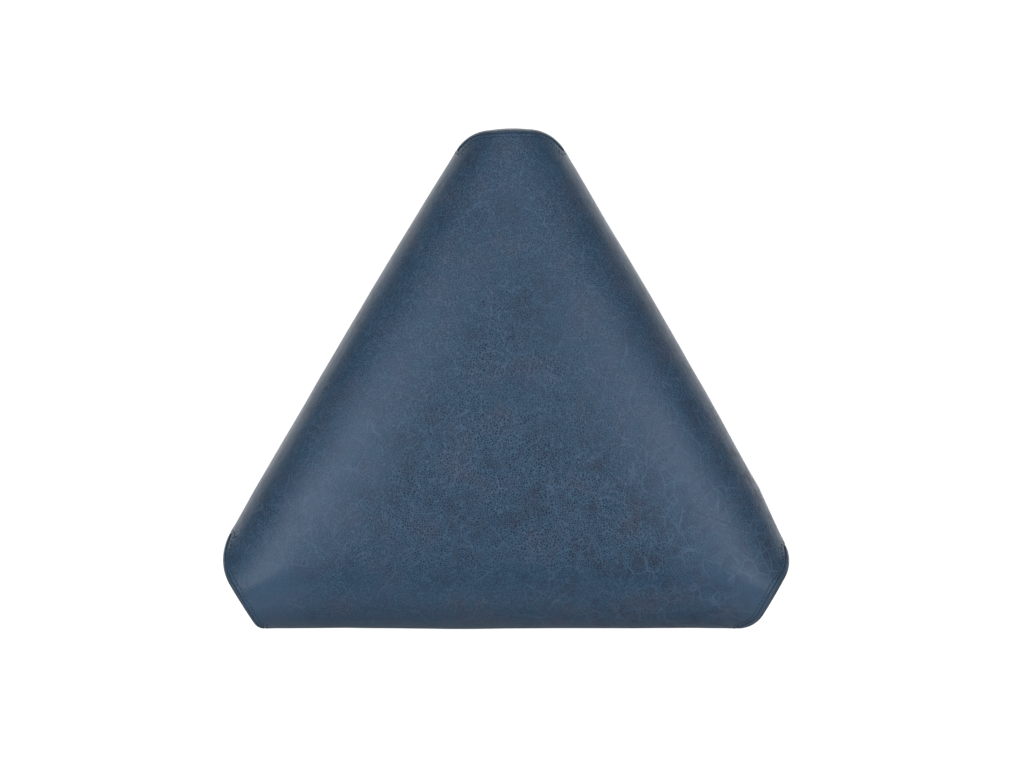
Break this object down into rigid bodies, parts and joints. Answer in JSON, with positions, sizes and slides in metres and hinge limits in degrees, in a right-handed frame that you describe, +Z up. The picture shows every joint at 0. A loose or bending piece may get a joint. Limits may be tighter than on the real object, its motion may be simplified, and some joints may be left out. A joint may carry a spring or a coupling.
{
  "type": "ottoman",
  "caption": "Triangular upholstered ottoman with cut corners, crowned on top, for use as a footrest or low seat on a floor.",
  "frame": {"origin": "middle of the base's bounding box, on the surface that the ottoman stands on", "axes": "+Z up, +Y towards the narrow end of the triangle, +X to the right as seen from above with the narrow end away"},
  "size_m": [0.5652, 0.4996, 0.4303],
  "materials": {
    "wrap_leather": "waxed pull-up leather with fine pebble grain, semi-gloss",
    "strip_leather": "the same leather, cut as narrow strips",
    "base_cloth": "plain dark woven cloth"
  },
  "bodies": {
    "root": {"top_wrap": "wrap_leather", "corner_strip_right": "strip_leather", "corner_strip_apex": "strip_leather", "corner_strip_left": "strip_leather", "base_cloth": "base_cloth"}
  },
  "joints": []
}
